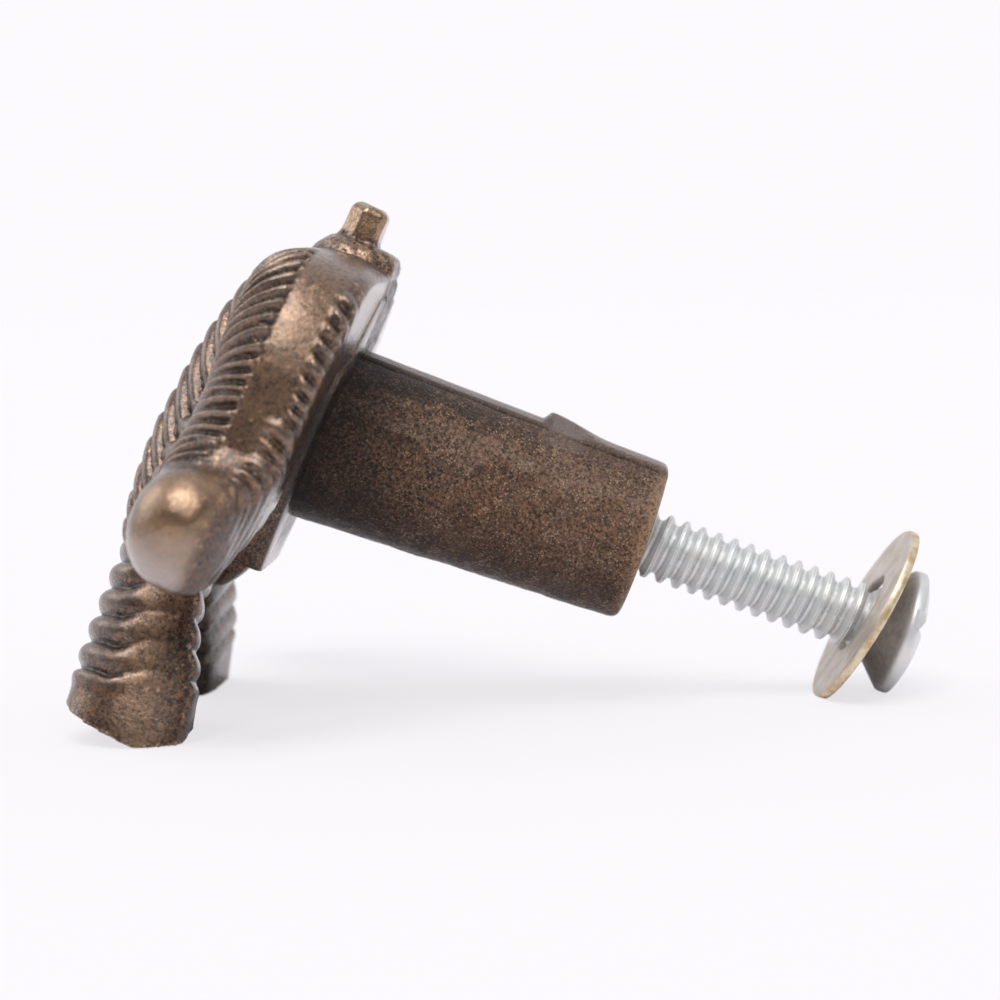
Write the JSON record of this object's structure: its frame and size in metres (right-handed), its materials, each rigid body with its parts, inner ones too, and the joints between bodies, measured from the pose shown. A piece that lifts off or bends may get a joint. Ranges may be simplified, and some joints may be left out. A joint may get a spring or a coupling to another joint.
{
  "type": "cabinet knob",
  "caption": "Cast ornamental cabinet knob with a ribbed winged head, a round tapered shank and a slotted fixing screw with washer.",
  "frame": {"origin": "centre of the shank's end face, the face that sits against the drawer front", "axes": "+Y along the screw, away from the knob; the figure on the head faces -Y; +Z to the top of the figure; +X across the figure"},
  "size_m": [0.0402, 0.0496, 0.0342],
  "materials": {
    "antique_brass_head": "cast, dark patina rubbed through to golden brown on the high spots",
    "antique_brass_shank": "as cast, dark patina, speckled",
    "zinc_plated_screw": "bright zinc plate",
    "yellow_zinc_washer": "worn yellow zinc plate"
  },
  "bodies": {
    "knob": {"head_casting": "antique_brass_head", "shank": "antique_brass_shank"},
    "washer": {"washer": "yellow_zinc_washer"},
    "screw": {"fixing_screw": "zinc_plated_screw"}
  },
  "joints": [
    {"name": "screw_travel", "type": "slide", "parent": "knob", "child": "washer", "axis": [0, 1, 0], "range_m": [-0.007, 0.0032]},
    {"name": "screw_turn", "type": "hinge", "parent": "washer", "child": "screw", "pos_m": [0, 0, 0], "axis": [0, 1, 0], "range_deg": [-2385, 1095]}
  ],
  "couplings": [
    {"joint": "screw_turn", "follows": "screw_travel", "rad_per_m": 5936.9}
  ]
}
